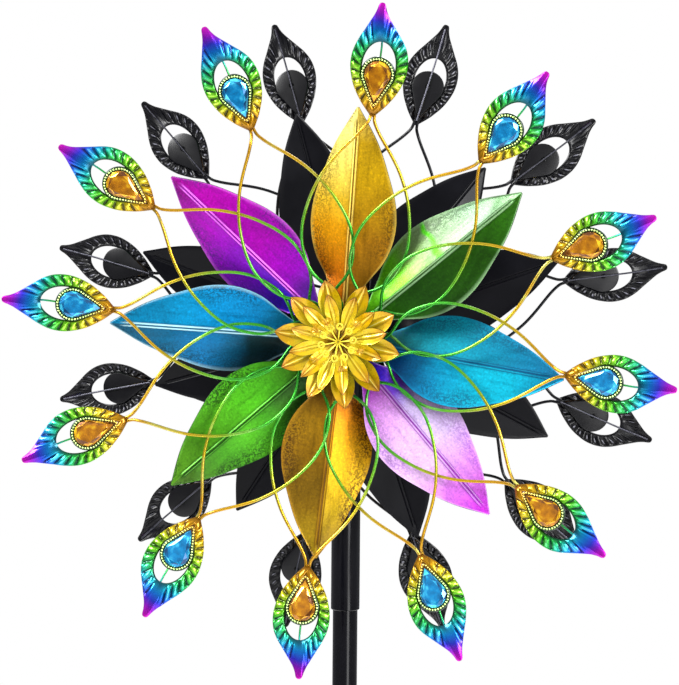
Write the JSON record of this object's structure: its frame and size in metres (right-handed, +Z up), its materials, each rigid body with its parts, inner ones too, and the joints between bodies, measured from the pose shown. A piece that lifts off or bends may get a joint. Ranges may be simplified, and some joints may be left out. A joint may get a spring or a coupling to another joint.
{
  "type": "kinetic wind sculpture",
  "caption": "Garden wind spinner: two freely turning rotors of metal leaves, looping wires and jewelled peacock feathers on one axle atop a sectional pole with a ground fork.",
  "frame": {"origin": "the pole's axis at the soil line, at the underside of the ground fork's plate", "axes": "+Z up the pole; the axle runs along Y and the painted front rotor faces -Y; +X is to the right as seen from the front"},
  "size_m": [0.6094, 0.2206, 1.9044],
  "materials": {
    "black_powder_coat": "semi-gloss black powder coat",
    "bright_steel": "bright zinc-plated steel",
    "sintered_bronze": "plain oil-filled bearing bronze",
    "gold_lacquer": "glossy translucent gold lacquer, orange toward the hub, black on the back",
    "purple_lacquer": "glossy purple lacquer with violet shading, black on the back",
    "teal_lacquer": "glossy teal-blue lacquer, darker toward the hub, black on the back",
    "green_lacquer": "glossy leaf-green lacquer with antiqued edges, black on the back",
    "magenta_lacquer": "glossy magenta lacquer, paler in the middle, black on the back",
    "feather_lacquer": "glossy lacquer shading from gold at the base through green and blue to magenta at the tip, black on the back",
    "wire_lacquer": "glossy lacquer, green near the hub and gold farther out",
    "flower_lacquer": "glossy yellow-gold lacquer with orange-brown tips",
    "amber_gem": "clear faceted amber acrylic over foil",
    "blue_gem": "clear faceted blue acrylic over foil"
  },
  "bodies": {
    "stand": {"ground_fork": "black_powder_coat", "fork_socket": "black_powder_coat", "pole_lower": "black_powder_coat", "pole_middle": "black_powder_coat", "pole_upper": "black_powder_coat", "head_sleeve": "black_powder_coat", "head_crosstube": "black_powder_coat", "axle": "bright_steel", "axle_nut_front": "bright_steel", "axle_nut_rear": "bright_steel"},
    "front_rotor": {"front_hub": "black_powder_coat", "front_bearing_bush": "sintered_bronze", "front_wire_frame": "wire_lacquer", "front_leaf_1": "gold_lacquer", "front_leaf_2": "purple_lacquer", "front_leaf_3": "teal_lacquer", "front_leaf_4": "green_lacquer", "front_leaf_5": "gold_lacquer", "front_leaf_6": "magenta_lacquer", "front_leaf_7": "teal_lacquer", "front_leaf_8": "green_lacquer", "front_feather_01": "feather_lacquer", "front_feather_02": "feather_lacquer", "front_feather_03": "feather_lacquer", "front_feather_04": "feather_lacquer", "front_feather_05": "feather_lacquer", "front_feather_06": "feather_lacquer", "front_feather_07": "feather_lacquer", "front_feather_08": "feather_lacquer", "front_feather_09": "feather_lacquer", "front_feather_10": "feather_lacquer", "front_feather_11": "feather_lacquer", "front_feather_12": "feather_lacquer", "front_flower_outer": "flower_lacquer", "front_flower_inner": "flower_lacquer"},
    "rear_rotor": {"rear_hub": "black_powder_coat", "rear_bearing_bush": "sintered_bronze", "rear_wire_frame": "wire_lacquer", "rear_leaf_1": "gold_lacquer", "rear_leaf_2": "purple_lacquer", "rear_leaf_3": "teal_lacquer", "rear_leaf_4": "green_lacquer", "rear_leaf_5": "gold_lacquer", "rear_leaf_6": "magenta_lacquer", "rear_leaf_7": "teal_lacquer", "rear_leaf_8": "green_lacquer", "rear_feather_01": "feather_lacquer", "rear_feather_02": "feather_lacquer", "rear_feather_03": "feather_lacquer", "rear_feather_04": "feather_lacquer", "rear_feather_05": "feather_lacquer", "rear_feather_06": "feather_lacquer", "rear_feather_07": "feather_lacquer", "rear_feather_08": "feather_lacquer", "rear_feather_09": "feather_lacquer", "rear_feather_10": "feather_lacquer", "rear_feather_11": "feather_lacquer", "rear_feather_12": "feather_lacquer", "rear_flower_outer": "flower_lacquer", "rear_flower_inner": "flower_lacquer"}
  },
  "joints": [
    {"name": "front_rotor_spin", "type": "hinge", "parent": "stand", "child": "front_rotor", "pos_m": [0, -0.05, 1.43], "axis": [0, -1, 0], "continuous": true},
    {"name": "rear_rotor_spin", "type": "hinge", "parent": "stand", "child": "rear_rotor", "pos_m": [0, 0.05, 1.43], "axis": [0, 1, 0], "continuous": true}
  ]
}
